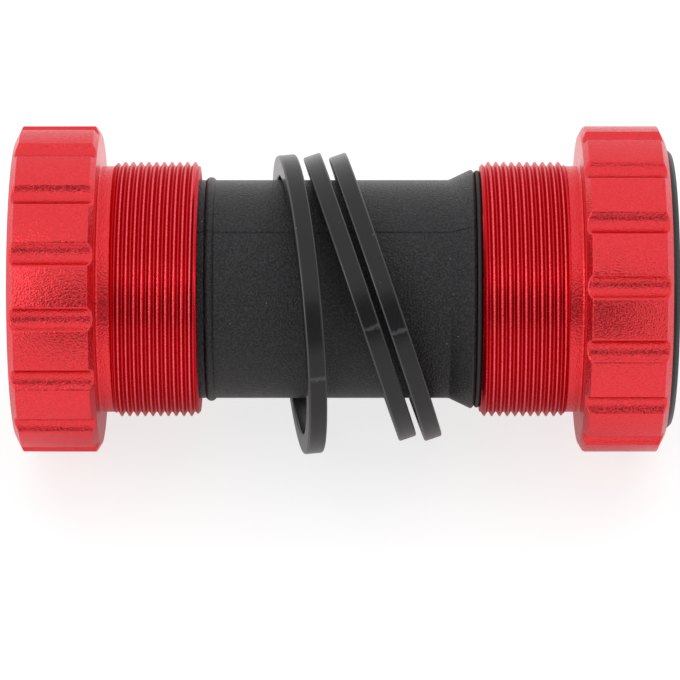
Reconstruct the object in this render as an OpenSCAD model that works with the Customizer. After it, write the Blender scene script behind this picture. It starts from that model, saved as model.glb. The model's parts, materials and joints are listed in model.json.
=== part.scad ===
// Thread-in bottom bracket with outboard bearings, for a crank with a 24 mm spindle.
// The spindle's axis is X and the drive side is at -X. The origin lies on that axis, midway
// between the two flanges' inboard faces. +Z is up, as the unit lies on a table.

/* [Layout] */
// Distance between the flanges' inboard faces, as the cups lie on the sleeve
flange_gap = 65.1; // [60:0.1:70]
// Room between the sleeve's two ends and the bearings beside them
spigot_room = 0.8; // [0.6:0.1:1.5]
// Room left under the lowest point of a loose spacer
floor_room = 0.25; // [0.1:0.05:0.5]

/* [Cup] */
// Metal round the bearing, from its seat to the lands of the tool flange
flange_wall = 3.75; // [3.3:0.05:4.5]
// Width of the tool flange along the axis
flange_w = 11.5; // [11:0.1:13]
// Axial length of the flange's inboard chamfer
inboard_chamfer_w = 0.7; // [0.4:0.05:2]
// Radial depth of the flange's inboard chamfer
inboard_chamfer_h = 1.1; // [0.5:0.05:2.2]
// Axial length of the flange's outboard chamfer
outboard_chamfer_w = 0.95; // [0.4:0.05:1.2]
// Radial depth of the flange's outboard chamfer
outboard_chamfer_h = 1.9; // [0.5:0.05:2]
// Number of notches that the tool engages
notches = 16; // [12:1:20]
// Radius of the cutter that makes a notch
notch_r = 1.75; // [1.4:0.05:2]
// Depth of a notch below the lands
notch_depth = 0.97; // [0.6:0.01:1.2]
// Major diameter of the thread
thread_d = 34.8; // [34.4:0.1:36]
// Depth of the thread, to which the relief beside it is turned down
thread_depth = 0.6; // [0.5:0.05:0.7]
// Metal between the thread's crests and the barrel's bore
barrel_wall = 1.75; // [1.4:0.05:2]
// Length of the threaded barrel, from its end to the flange
barrel_l = 13.5; // [12.5:0.05:15]
// Length of the chamfer that starts the thread
lead_in = 0.65; // [0.3:0.05:1]
// Length of the relief between the thread and the flange
relief_w = 1.85; // [0.6:0.05:2.5]
// Depth to which the relief is undercut into the flange's face
undercut = 0.15; // [0.05:0.05:0.4]
// Radial room between the thread's crests and the edge of that face
undercut_room = 0.15; // [0.1:0.05:0.5]
// Chamfer at the mouth of the barrel's bore
mouth_chamfer = 0.4; // [0.2:0.05:0.6]

/* [Bearing] */
// Width of the bearing
bearing_w = 7; // [6.8:0.1:7.2]
// Thickness of a race behind the bottom of its groove
race_wall = 1.3925; // [1.3:0.0025:1.5]
// Diameter of a ball
ball_d = 3.175; // [3:0.025:3.3]
// Number of balls in a bearing
ball_count = 17; // [12:1:18]
// Radius of the groove that the balls run in, as a share of their diameter
groove_ratio = 0.52; // [0.51:0.005:0.54]
// Play between a ball and the bottom of its groove
ball_play = 0.02; // [0.01:0.01:0.04]
// Height of a race's shoulder over the bottom of its groove
shoulder_h = 0.6; // [0.4:0.05:0.7]
// Play between a ball and its pocket in the cage
pocket_play = 0.08; // [0.05:0.01:0.12]
// Thickness of a cage's wall between the races
cage_t = 1.35; // [1:0.05:1.5]
// Distance from the cage's open edge to the balls' centres
cage_reach = 1.1; // [0.8:0.05:1.3]
// Thickness of a cage's closed rim behind the balls
cage_rim = 0.65; // [0.4:0.05:0.8]
// Thickness of a seal
seal_t = 0.7; // [0.5:0.05:0.9]
// Depth of a seal's seat below the bearing's face
seal_seat_depth = 0.9; // [0.8:0.05:1.1]
// Width of the step that a seal sits on
seal_step = 0.5; // [0.3:0.05:0.6]
// Chamfer on the races' outer edges
race_chamfer = 0.3; // [0.15:0.05:0.4]

/* [Dust cap] */
// Diameter of the spindle that the cap guides
spindle_d = 24; // [23.6:0.1:24.6]
// Thickness of the cap's tube, which lines the bearing
liner_t = 0.5; // [0.4:0.05:0.8]
// How far the cap's rim laps over the outer race
cap_lap = 0.5; // [0.2:0.05:0.8]
// Depth of the recess that the cap sits in, outboard of the bearing
cap_seat = 2.3; // [2:0.1:2.8]
// How far the drive cup's cap stands proud of its flange
drive_cap_proud = 0.15; // [0.1:0.05:2]
// How far the non-drive cup's cap stands proud of its flange
nondrive_cap_proud = 1; // [0.1:0.05:2]
// Bevel round the cap's outer edge
cap_bevel = 0.45; // [0.2:0.05:0.6]
// Depth of the shallow dish in the cap's outer face
cap_dish = 0.35; // [0.1:0.05:0.5]
// Thickness of the cap's walls
cap_wall = 1.4; // [1:0.1:1.6]

/* [Sleeve] */
// Step from the non-drive spigot, which fills a cup's bore, down to the sleeve's body
spigot_step = 0.6; // [0.4:0.05:0.9]
// Thickness of the sleeve's wall
sleeve_wall = 1.45; // [1.2:0.05:1.8]
// Height of the cone beside the non-drive cup over that spigot
cone_h = 0.85; // [0.5:0.05:1.2]
// Length of the cone
cone_l = 3.05; // [2:0.05:5]
// Length of the rounded rim behind the cone
cone_rim = 0.4; // [0.2:0.05:0.6]
// Room between the cone's back and the cup, which an O-ring fills
cone_room = 0.8; // [0.6:0.05:1]
// Height of the bead beside the drive cup over the sleeve's body
bead_h = 0.4; // [0.25:0.05:0.6]
// Width of that bead
bead_w = 1.3; // [1:0.1:1.6]
// Room between the bead and the drive cup
bead_room = 0.85; // [0.6:0.05:1.2]
// Thickness of the O-ring inside the drive cup
slide_ring_t = 1.35; // [1.2:0.05:1.4]
// Distance from the sleeve's drive end to that O-ring's centre
slide_ring_inset = 1.2; // [1.1:0.05:2]
// Thickness of the O-ring beside the cone
cone_ring_t = 0.7; // [0.4:0.05:0.75]

/* [Spacers] */
// Width of a spacer's band between its bore and its rim
spacer_band = 2.75; // [2.3:0.05:3.2]
// Thickness of a spacer
spacer_t = 2.5; // [1.5:0.1:2.6]
// Rounding chamfer on a spacer's edges
spacer_edge = 0.25; // [0.1:0.05:0.4]
// Place along the axis of spacer 2, the middle one
spacer_2_x = 2.7; // [1.5:0.1:4]
// Angle by which spacers 2 and 3 are swung about the upright
leaning_swing_angle = 13.5; // [5:0.5:15]
// Angle by which spacer 1 is swung about the upright
upright_swing_angle = 7.5; // [0:0.5:10]
// Sideways place of the leaning spacers 2 and 3
leaning_y = 0.27; // [0:0.01:0.5]
// Sideways place of spacer 1
upright_y = -1.45; // [-1.6:0.05:0]
// Gap between spacers 2 and 3
spacer_gap = 0.8; // [0.6:0.05:1.2]
// Gap where spacer 1 all but touches spacer 2
spacer_touch = 0.25; // [0.1:0.05:0.6]

/* [Fits] */
// Radial room between a spacer's bore and the thread that it passes over
spacer_clear = 0.35; // [0.3:0.05:0.6]
// Radial room between the non-drive spigot and the cups' bore
spigot_clear = 0.15; // [0.1:0.05:0.3]
// Radial room between a dust cap and its recess
cap_clear = 0.3; // [0.2:0.05:0.4]
// Radial play of pressed pieces: race in cup, cap in race, seal in race
seat_play = 0.01; // [0:0.01:0.02]
// Radial room between what turns and what stands still
running_clear = 0.1; // [0.06:0.01:0.15]
// Radial room between the sliding O-ring and the cup's bore
ring_clear = 0.05; // [0.02:0.01:0.1]
// Room between a leaning spacer and the sleeve that it leans on
lean_clear = 0.34; // [0.3:0.02:0.6]

/* [Hidden] */
$fn = 96;

// Overshoot of a cutting shape past the face that it opens
cut = 1;
drive = -1;
nondrive = 1;
// Colours as the photograph shows them
anodised_red = [0.84, 0.14, 0.17];
moulded_black = [0.17, 0.17, 0.18];
spacer_black = [0.12, 0.12, 0.13];
rubber_black = [0.07, 0.07, 0.07];
bearing_steel = [0.72, 0.73, 0.75];
cage_nylon = [0.86, 0.83, 0.74];

bearing_bore_r = spindle_d / 2 + liner_t;
bearing_depth = flange_w - cap_seat - bearing_w;
pitch_r = bearing_bore_r + race_wall + ball_play + ball_d / 2;
bearing_r = pitch_r + ball_d / 2 + ball_play + race_wall;
flange_r = bearing_r + flange_wall;
thread_r = thread_d / 2;
relief_r = thread_r - thread_depth;
bore_r = thread_r - barrel_wall;
half_gap = flange_gap / 2;
cup_end = half_gap - barrel_l;
notch_step = 360 / notches;

ball_r = ball_d / 2;
groove_r = groove_ratio * ball_d;
outer_groove_floor = pitch_r + ball_r + ball_play;
inner_groove_floor = pitch_r - ball_r - ball_play;
outer_land_r = outer_groove_floor - shoulder_h;
inner_land_r = inner_groove_floor + shoulder_h;
seal_rim_r = outer_land_r + seal_step;
seal_face = (seal_seat_depth - seal_t) * 3 / 4;
bearing_back = bearing_depth + bearing_w;

cap_r = bearing_r + cap_lap;
cap_recess_r = cap_r + cap_clear;
cap_boss_r = inner_land_r - 2 * running_clear;
cap_floor = bearing_back + cap_clear + running_clear;

spigot_r = bore_r - spigot_clear;
sleeve_r = spigot_r - spigot_step;
sleeve_bore_r = sleeve_r - sleeve_wall;
cone_r = spigot_r + cone_h;
sleeve_end = half_gap + bearing_depth - spigot_room;
cone_back = cup_end - cone_room;
slide_ring_r = bore_r - ring_clear - slide_ring_t / 2;
slide_ring_x = sleeve_end - slide_ring_inset;
cone_ring_r = spigot_r + cone_ring_t / 2 + seat_play;
// The bead is the top of a round of this radius, which gives it its width and height
bead_round = (bead_w * bead_w / 4 + bead_h * bead_h) / (2 * bead_h);
bead_x = bead_room + bead_w / 2 - cup_end;

spacer_in_r = thread_r + spacer_clear;
spacer_out_r = spacer_in_r + spacer_band;
floor_r = flange_r - floor_room;
// A spacer that stands on the table leans until its bore meets the sleeve
lean = acos(min(1, (floor_r + sleeve_r + lean_clear) / (spacer_out_r + spacer_in_r)));

// Height of a spacer's centre: it stands on the table or, if the flanges are tall, hangs on the sleeve
function spacer_z(tilt) = max(
    spacer_out_r * cos(tilt) + spacer_t / 2 * sin(tilt) - floor_r,
    sleeve_r + lean_clear - spacer_in_r * cos(tilt) + spacer_t / 2 * sin(tilt));

// Slopes of a spacer's faces: how far x falls for each step along y and along z
function slope_y(swing) = tan(swing);
function slope_z(tilt, swing) = tan(tilt) / cos(swing);
// Thickness of a spacer measured along the axis
function axial_t(tilt, swing) = spacer_t / (cos(tilt) * cos(swing));

spacer_3_x = spacer_2_x + (spacer_t + spacer_gap) / (cos(lean) * cos(leaning_swing_angle));
// Spacer 1 lies beside spacer 2, which all but touches it where the two faces come closest
face_dy = slope_y(leaning_swing_angle) - slope_y(upright_swing_angle);
face_dz = slope_z(lean, leaning_swing_angle);
face_reach = spacer_out_r * norm([face_dy, face_dz])
    + abs(face_dy * (leaning_y - upright_y)) + abs(face_dz * (spacer_z(lean) - spacer_z(0)));
spacer_1_x = spacer_2_x - spacer_touch - face_reach
    - (axial_t(lean, leaning_swing_angle) + axial_t(0, upright_swing_angle)) / 2
    + slope_y(upright_swing_angle) * (leaning_y - upright_y);

// Stands a shape that was drawn along +Z on one end of the unit, pointing outwards
module at_end(side) translate([side * half_gap, 0, 0]) rotate([0, side * 90, 0]) children();

// The same, with the height measured from the bearing's inboard face
module at_bearing(side) at_end(side) translate([0, 0, bearing_depth]) children();

// Lays a shape that was drawn along +Z on the X axis
module along_x() rotate([0, 90, 0]) children();

// A ring about Z between two radii and two heights, its outer edges chamfered
module ring(r_in, r_out, z_low, z_high, edge = 0) rotate_extrude() polygon([
    [r_in, z_low], [r_out - edge, z_low], [r_out, z_low + edge],
    [r_out, z_high - edge], [r_out - edge, z_high], [r_in, z_high]
]);

// Half section of the cup's outside, from the barrel's end to the flange's outboard face
module cup_outline() polygon([
    [0, -barrel_l],
    [thread_r - lead_in, -barrel_l],
    [thread_r, lead_in - barrel_l],
    [thread_r, -relief_w - (thread_r - relief_r)],
    [relief_r, -relief_w],
    [relief_r, undercut],
    [thread_r + undercut_room, undercut],
    [thread_r + undercut_room, 0],
    [flange_r - inboard_chamfer_h, 0],
    [flange_r, inboard_chamfer_w],
    [flange_r, flange_w - outboard_chamfer_w],
    [flange_r - outboard_chamfer_h, flange_w],
    [0, flange_w]
]);

// Half section of what is bored out of the cup: barrel, bearing seat and cap recess
module cup_hollow() polygon([
    [0, -barrel_l - cut],
    [bore_r + mouth_chamfer + cut, -barrel_l - cut],
    [bore_r, mouth_chamfer - barrel_l],
    [bore_r, bearing_depth],
    [bearing_r + seat_play, bearing_depth],
    [bearing_r + seat_play, bearing_back],
    [cap_recess_r, bearing_back],
    [cap_recess_r, flange_w + cut],
    [0, flange_w + cut]
]);

// One cup: the first notch lies at the angle phase from straight down
module cup(phase) color(anodised_red) difference() {
    rotate_extrude() cup_outline();
    rotate_extrude() cup_hollow();
    for (i = [0:notches - 1])
        rotate([0, 0, phase + i * notch_step])
            translate([flange_r - notch_depth + notch_r, 0, -cut])
                cylinder(r = notch_r, h = flange_w + 2 * cut);
}

module outer_race() color(bearing_steel) difference() {
    ring(outer_land_r, bearing_r, 0, bearing_w, race_chamfer);
    translate([0, 0, bearing_w / 2]) rotate_extrude()
        translate([outer_groove_floor - groove_r, 0]) circle(r = groove_r);
    for (z = [-cut, bearing_w - seal_seat_depth])
        translate([0, 0, z]) cylinder(r = seal_rim_r, h = seal_seat_depth + cut);
}

module inner_race() color(bearing_steel) difference() {
    ring(bearing_bore_r, inner_land_r, 0, bearing_w);
    translate([0, 0, bearing_w / 2]) rotate_extrude()
        translate([inner_groove_floor + groove_r, 0]) circle(r = groove_r);
}

// Calls its child once at each ball's centre
module each_ball() for (i = [0:ball_count - 1])
    rotate([0, 0, i * 360 / ball_count]) translate([pitch_r, 0, bearing_w / 2]) children();

module balls() color(bearing_steel) each_ball() sphere(r = ball_r);

// Crown cage: a closed rim behind the balls, and fingers that reach between them
module ball_cage() color(cage_nylon) difference() {
    ring(pitch_r - cage_t / 2, pitch_r + cage_t / 2,
        bearing_w / 2 - ball_r - pocket_play - cage_rim, bearing_w / 2 + cage_reach);
    each_ball() sphere(r = ball_r + pocket_play);
}

// Rubber seal with a thin web between its rim and its lip
module seal() color(rubber_black) rotate_extrude() polygon([
    [inner_land_r + running_clear, 0],
    [seal_rim_r - seat_play, 0],
    [seal_rim_r - seat_play, seal_t],
    [outer_land_r, seal_t],
    [outer_land_r - seal_t / 4, seal_t * 3 / 4],
    [inner_land_r + running_clear + seal_t / 2, seal_t * 3 / 4],
    [inner_land_r + running_clear + seal_t / 4, seal_t],
    [inner_land_r + running_clear, seal_t]
]);

// The web's open side faces the balls on both seals
module inboard_seal(side) at_bearing(side) translate([0, 0, seal_face]) seal();
module outboard_seal(side) at_bearing(side) translate([0, 0, bearing_w - seal_face]) mirror([0, 0, 1]) seal();

// Cap with a thin tube that lines the bearing. Heights, such as cap_face, the height of its
// outer face, are measured from the flange's inboard face
module dust_cap(cap_face) color(moulded_black) rotate_extrude() polygon([
    [spindle_d / 2, bearing_depth + running_clear],
    [bearing_bore_r - seat_play, bearing_depth + running_clear],
    [bearing_bore_r - seat_play, bearing_back],
    [cap_boss_r, bearing_back],
    [cap_boss_r, cap_face - cap_wall],
    [cap_r - cap_wall, cap_face - cap_wall],
    [cap_r - cap_wall, cap_floor],
    [cap_r, cap_floor],
    [cap_r, cap_face - cap_bevel],
    [cap_r - cap_bevel, cap_face],
    [cap_r - cap_wall, cap_face],
    [cap_r - cap_wall - cap_dish, cap_face - cap_dish],
    [cap_boss_r + cap_dish, cap_face - cap_dish],
    [cap_boss_r, cap_face],
    [spindle_d / 2 + cap_bevel, cap_face],
    [spindle_d / 2, cap_face - cap_bevel]
]);

// Half section of the sleeve: radius against place along the axis
module sleeve_outline() polygon([
    [sleeve_bore_r, -sleeve_end],
    [sleeve_r - mouth_chamfer, -sleeve_end],
    [sleeve_r, mouth_chamfer - sleeve_end],
    [sleeve_r, cone_back - cone_rim - cone_l],
    [cone_r, cone_back - cone_rim],
    [cone_r - cone_rim, cone_back],
    [spigot_r, cone_back],
    [spigot_r, sleeve_end - mouth_chamfer],
    [spigot_r - mouth_chamfer, sleeve_end],
    [spigot_r - sleeve_wall, sleeve_end],
    [spigot_r - sleeve_wall, cone_back],
    [sleeve_bore_r, cone_back - cone_rim - cone_l]
]);

module inner_sleeve() color(moulded_black) along_x() difference() {
    rotate_extrude() union() {
        sleeve_outline();
        translate([sleeve_r + bead_h - bead_round, bead_x]) circle(r = bead_round);
    }
    // Groove for the O-ring that slides in the drive cup
    ring(slide_ring_r - slide_ring_t / 2 - seat_play, sleeve_r + cut,
        -slide_ring_x - slide_ring_t / 2 - ring_clear, -slide_ring_x + slide_ring_t / 2 + ring_clear);
}

module oring(mid_r, thickness) color(rubber_black) rotate_extrude()
    translate([mid_r, 0]) circle(d = thickness);

module spacer(x, y, tilt, swing) color(spacer_black)
    translate([x, y, spacer_z(tilt)]) rotate([0, -tilt, swing]) along_x() rotate_extrude() polygon([
        [spacer_in_r, spacer_edge - spacer_t / 2],
        [spacer_in_r + spacer_edge, -spacer_t / 2],
        [spacer_out_r - spacer_edge, -spacer_t / 2],
        [spacer_out_r, spacer_edge - spacer_t / 2],
        [spacer_out_r, spacer_t / 2 - spacer_edge],
        [spacer_out_r - spacer_edge, spacer_t / 2],
        [spacer_in_r + spacer_edge, spacer_t / 2],
        [spacer_in_r, spacer_t / 2 - spacer_edge]
    ]);

// A land of the drive cup and a notch of the other point straight down
module drive_cup() at_end(drive) cup(notch_step / 2);
module nondrive_cup() at_end(nondrive) cup(0);
module drive_sleeve_oring() translate([-slide_ring_x, 0, 0]) along_x() oring(slide_ring_r, slide_ring_t);
module nondrive_sleeve_oring() translate([cup_end - cone_room / 2, 0, 0]) along_x()
    oring(cone_ring_r, cone_ring_t);
module spacer_1() spacer(spacer_1_x, upright_y, 0, upright_swing_angle);
module spacer_2() spacer(spacer_2_x, leaning_y, lean, leaning_swing_angle);
module spacer_3() spacer(spacer_3_x, leaning_y, lean, leaning_swing_angle);

drive_cup();
nondrive_cup();
inner_sleeve();
at_bearing(drive) outer_race();  // drive_outer_race
at_bearing(drive) inner_race();  // drive_inner_race
at_bearing(drive) balls();  // drive_balls
at_bearing(drive) ball_cage();  // drive_ball_cage
inboard_seal(drive);  // drive_inboard_seal
outboard_seal(drive);  // drive_outboard_seal
at_end(drive) dust_cap(flange_w + drive_cap_proud);  // drive_dust_cap
drive_sleeve_oring();
at_bearing(nondrive) outer_race();  // nondrive_outer_race
at_bearing(nondrive) inner_race();  // nondrive_inner_race
at_bearing(nondrive) balls();  // nondrive_balls
at_bearing(nondrive) ball_cage();  // nondrive_ball_cage
inboard_seal(nondrive);  // nondrive_inboard_seal
outboard_seal(nondrive);  // nondrive_outboard_seal
at_end(nondrive) dust_cap(flange_w + nondrive_cap_proud);  // nondrive_dust_cap
nondrive_sleeve_oring();
spacer_1();
spacer_2();
spacer_3();
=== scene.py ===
# %% [markdown]
# # A thread-in bottom bracket
# The unit lies on a white table with its spindle axis across the picture. Two red anodised cups
# stand on the ends of a black sleeve, and three loose spacers hang round the sleeve. The packed
# solids give every size and place, and this lesson dresses them: it turns the cups, mills their
# notches, rolls their threads, moulds the black pieces and gives each one its finish.

# %% Load the solids
import json
import math

import bpy
import numpy as np
from mathutils import Matrix, Vector


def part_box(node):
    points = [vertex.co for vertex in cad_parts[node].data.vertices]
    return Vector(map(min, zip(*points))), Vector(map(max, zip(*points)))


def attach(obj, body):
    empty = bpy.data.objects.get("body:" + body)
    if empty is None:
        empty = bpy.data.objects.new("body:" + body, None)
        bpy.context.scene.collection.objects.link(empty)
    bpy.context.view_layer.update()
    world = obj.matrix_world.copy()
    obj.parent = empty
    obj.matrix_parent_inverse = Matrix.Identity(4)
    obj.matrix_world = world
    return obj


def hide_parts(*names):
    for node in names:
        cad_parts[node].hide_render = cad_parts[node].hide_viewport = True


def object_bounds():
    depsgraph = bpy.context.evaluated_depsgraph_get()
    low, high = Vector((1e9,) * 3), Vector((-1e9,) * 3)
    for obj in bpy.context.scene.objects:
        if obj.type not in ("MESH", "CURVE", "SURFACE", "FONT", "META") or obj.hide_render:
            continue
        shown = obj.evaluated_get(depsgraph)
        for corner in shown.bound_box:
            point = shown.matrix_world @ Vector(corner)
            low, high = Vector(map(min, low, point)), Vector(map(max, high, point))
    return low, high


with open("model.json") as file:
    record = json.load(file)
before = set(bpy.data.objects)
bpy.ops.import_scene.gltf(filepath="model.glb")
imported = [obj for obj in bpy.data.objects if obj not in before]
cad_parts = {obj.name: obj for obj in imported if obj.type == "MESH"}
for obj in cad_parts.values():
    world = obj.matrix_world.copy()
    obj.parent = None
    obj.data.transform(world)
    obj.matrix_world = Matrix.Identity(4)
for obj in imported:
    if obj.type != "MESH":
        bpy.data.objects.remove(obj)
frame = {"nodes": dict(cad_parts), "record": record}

MM = 0.001
solid_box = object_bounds()
print("solids", len(frame["nodes"]), "from", solid_box[0], "to", solid_box[1])

# %% [markdown]
# ## Sizes that the solids give
# A finished piece has to lie exactly where its solid lies, so the main sizes are read from the
# solids and their mounts, in millimetres. They could be typed in again, but would then go wrong
# as soon as a solid changes. Only what a solid's box and mounts don't say is given as a number.

# %% Read sizes from the solids
mounts = {mount["name"]: mount for mount in frame["record"]["mounts"]}


def reach(node, axis):
    """How far a node reaches along an axis, in millimetres: its lowest and highest place."""
    low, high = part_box(node)
    return low[axis] / MM, high[axis] / MM


half_gap = mounts["nondrive_shell_face"]["pos_m"][0] / MM
flange_r = reach("drive_cup", 2)[1]
flange_w = reach("nondrive_cup", 0)[1] - half_gap
barrel_l = half_gap - reach("nondrive_cup", 0)[0]
thread_r = mounts["nondrive_thread"]["dims"]["r_mm"]
root_r = 16.8
spindle_r = mounts["spindle_bore"]["dims"]["r_mm"]
seat_from, seat_to = (place - half_gap for place in reach("nondrive_outer_race", 0))
cap_faces = {
    "drive": -reach("drive_dust_cap", 0)[0] - half_gap,
    "nondrive": reach("nondrive_dust_cap", 0)[1] - half_gap,
}
print(f"flange radius {flange_r:.2f}, width {flange_w:.2f} mm")
print(f"barrel {barrel_l:.2f} mm long, thread radius {thread_r:.2f} mm")

# %% [markdown]
# ## Camera
# The photograph looks down at the unit at half a right angle, from far off with a long lens, so
# that the two ends of the cylinders show as almost straight lines. The lens is worked out from
# how many of the picture's 680 pixels a millimetre takes, and the aim is a little below the axis
# because the unit lies high in the picture.

# %% Set up the camera
picture_px = 680
px_per_mm = 7.312
camera_far = 560
camera_rise = math.radians(45)
axis_above_centre_px = 51
sensor_mm = 36
near_clip = 0.01

to_camera = Vector((0, -math.cos(camera_rise), math.sin(camera_rise)))
picture_up = Vector((0, math.sin(camera_rise), math.cos(camera_rise)))
aim = -picture_up * axis_above_centre_px / px_per_mm * MM
camera_data = bpy.data.cameras.new("camera")
camera_data.sensor_width = sensor_mm
camera_data.lens = px_per_mm * camera_far / picture_px * sensor_mm
camera = bpy.data.objects.new("camera", camera_data)
camera.location = aim + to_camera * camera_far * MM
camera.rotation_mode = "QUATERNION"
camera.rotation_quaternion = to_camera.to_track_quat("Z", "Y")
camera_data.clip_start = near_clip
bpy.context.scene.collection.objects.link(camera)
bpy.context.scene.camera = camera
bpy.context.scene.view_settings.view_transform = "Standard"
print(f"lens {camera_data.lens:.1f} mm")

# %% [markdown]
# ## Helpers for node trees
# Materials and Geometry Nodes are both made of nodes, so one function adds a node of any kind.
# Colours are written as sRGB hex values, as a colour picker shows them, and shaders want linear
# light, so a second function turns one into the other. A third one plugs what was made for a
# surface into its sockets.

# %% Add a node, read a colour, feed a surface


def add(tree, kind, inputs=None, **settings):
    """Adds a node. Its inputs are values, nodes or sockets to link; settings are its own."""
    node = tree.nodes.new(kind)
    for name, value in settings.items():
        setattr(node, name, value)
    for key, value in (inputs or {}).items():
        if isinstance(value, bpy.types.Node):
            value = value.outputs[0]
        if isinstance(value, bpy.types.NodeSocket):
            tree.links.new(value, node.inputs[key])
        else:
            node.inputs[key].default_value = value
    return node


def linear(colour):
    """Linear light of an sRGB hex colour."""
    shares = [int(colour[i:i + 2], 16) / 255 for i in (1, 3, 5)]
    return [c / 12.92 if c <= 0.04045 else ((c + 0.055) / 1.055) ** 2.4 for c in shares] + [1]


def feed(tree, surface, **made):
    """Links the first output of each node to the surface's socket of that name."""
    for socket, node in made.items():
        tree.links.new(node.outputs[0], surface.inputs[socket.replace("_", " ")])


print("middle grey in linear light", round(linear("#808080")[0], 3))

# %% [markdown]
# ## Table and light
# The picture has a plain white ground and soft light from all sides, as a light tent gives. A lamp
# alone would leave the metal dark, because metal shows only what is round it, so the world itself
# is white. The table is a wide white sheet. The camera sees it lifted to white, and it still takes
# the unit's soft shadow. Reflections see it with less of a lift, so that the unit's own shade on
# the paper shows in the metal, and the light that it throws back is that of plain paper.

# %% Lay the table
table_reach = 6.0
table_z = solid_box[0].z
shadow_share = 0.36
white_lift = 0.76
paper_shade = 0.82
mirror_lift = 0.26


def sheet_mesh(name, corners):
    """A flat sheet between four corners."""
    mesh = bpy.data.meshes.new(name)
    mesh.from_pydata(corners, [], [range(4)])
    sheet = bpy.data.objects.new(name, mesh)
    bpy.context.scene.collection.objects.link(sheet)
    return sheet


table = sheet_mesh("table", [
    (x * table_reach, y * table_reach, table_z) for x, y in ((-1, -1), (1, -1), (1, 1), (-1, 1))
])
paper = bpy.data.materials.new("white_paper")
paper.use_nodes = True
tree = paper.node_tree
tree.nodes.clear()
light_path = add(tree, "ShaderNodeLightPath").outputs
by_eye = add(tree, "ShaderNodeMath", {
    0: light_path["Is Camera Ray"], 1: light_path["Is Transmission Ray"]}, operation="MAXIMUM")
shadowed = add(tree, "ShaderNodeBsdfDiffuse", {"Color": (*[shadow_share] * 3, 1)})
lifted = add(tree, "ShaderNodeEmission", {"Color": (1, 1, 1, 1), "Strength": white_lift})
white = add(tree, "ShaderNodeAddShader", {0: shadowed, 1: lifted})
plain = add(tree, "ShaderNodeBsdfDiffuse", {"Color": (*[paper_shade] * 3, 1)})
glow = add(tree, "ShaderNodeMapRange", {
    "Value": light_path["Is Glossy Ray"], "To Max": mirror_lift})
glow = add(tree, "ShaderNodeEmission", {"Color": (1, 1, 1, 1), "Strength": glow})
mirrored = add(tree, "ShaderNodeAddShader", {0: plain, 1: glow})
either = add(tree, "ShaderNodeMixShader", {0: by_eye, 1: mirrored, 2: white})
add(tree, "ShaderNodeOutputMaterial", {"Surface": either})
table.data.materials.append(paper)
print("table at", round(table_z / MM, 2), "mm")

# %% Pitch the light tent
tent_light = 0.62
tent_white = 1.0

world = bpy.data.worlds.new("light_tent")
bpy.context.scene.world = world
world.use_nodes = True
tree = world.node_tree
tree.nodes.clear()
light_path = add(tree, "ShaderNodeLightPath").outputs
seen = add(tree, "ShaderNodeMath", {
    0: light_path["Is Camera Ray"], 1: light_path["Is Glossy Ray"]}, operation="MAXIMUM")
seen = add(tree, "ShaderNodeMath", {
    0: seen, 1: light_path["Is Transmission Ray"]}, operation="MAXIMUM")
strength = add(tree, "ShaderNodeMapRange", {
    "Value": seen, "To Min": tent_light, "To Max": tent_white})
background = add(tree, "ShaderNodeBackground", {"Color": (1, 1, 1, 1), "Strength": strength})
add(tree, "ShaderNodeOutputWorld", {"Surface": background})
print("tent gives", tent_light, "and shows", tent_white)

# %% [markdown]
# ## Lamps and card
# A soft box hangs overhead and casts the shadow. Metal would mirror it as a patch of its own, so
# glossy rays don't see it. A tall, narrow side light stands at the left, in front: it is mirrored
# on purpose, by the crests and flanks of the thread and by the sleeve's cone, which leans that
# way. A grey card stands in front, below the lens. The faces turned a little below the lens
# mirror it: that gives the cylinders the darker band that models their roundness, and sets off
# the dents. The camera doesn't see the card, so that other views stay clean.

# %% Hang the lamps


def hang_lamp(name, size, place, watts):
    """A rectangular lamp at a place, turned towards the unit."""
    lamp = bpy.data.lights.new(name, "AREA")
    lamp.shape = "RECTANGLE"
    lamp.size, lamp.size_y = size
    lamp.energy = watts
    hung = bpy.data.objects.new(name, lamp)
    hung.location = place
    hung.rotation_mode = "QUATERNION"
    hung.rotation_quaternion = Vector(place).to_track_quat("Z", "Y")
    bpy.context.scene.collection.objects.link(hung)
    print(name, "of", watts, "W")
    return hung


soft_box = hang_lamp("soft_box", size=(1.5, 0.9), place=(0, 0.25, 1.0), watts=4.5)
soft_box.visible_glossy = False
hang_lamp("side_light", size=(0.22, 0.8), place=(-0.80, -0.53, 0.53), watts=1.9)

# %% Stand the card
card_far = 0.9
card_half_width = 0.28
card_foot = table_z + 0.02
card_from = math.radians(11)
card_to = math.radians(46)
card = sheet_mesh("dark_card", [
    (x * card_half_width, -card_far * math.cos(rise), card_far * math.sin(rise) + card_foot)
    for x, rise in ((-1, card_from), (1, card_from), (1, card_to), (-1, card_to))
])
card.visible_camera = False
felt = bpy.data.materials.new("grey_felt")
felt.use_nodes = True
felt_surface = felt.node_tree.nodes["Principled BSDF"]
felt_surface.inputs["Base Color"].default_value = linear("#8C8C8C")
felt_surface.inputs["Roughness"].default_value = 1
card.data.materials.append(felt)
print("card", 2 * card_half_width, "m wide")

# %% [markdown]
# ## Finishes: red anodised aluminium
# The cups are turned from aluminium bar, then anodised: acid grows a clear oxide skin on the
# metal, dye fills its pores, and the skin is sealed. The eye sees metal through red glass. So the
# shader is a metal with a red reflection, under a thin clear coat that adds the pale edge where
# the light grazes it. Before that, the flange is blasted with glass beads, which dent it all
# over: each dent tips the surface a little, and the metal sparkles where the light turns. The
# sparkle could be painted on as a speckled colour, but would then stay put as the light moves, so
# the dents go through a Bump node. Real dents would take millions of faces.

# %% Start a finish


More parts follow.
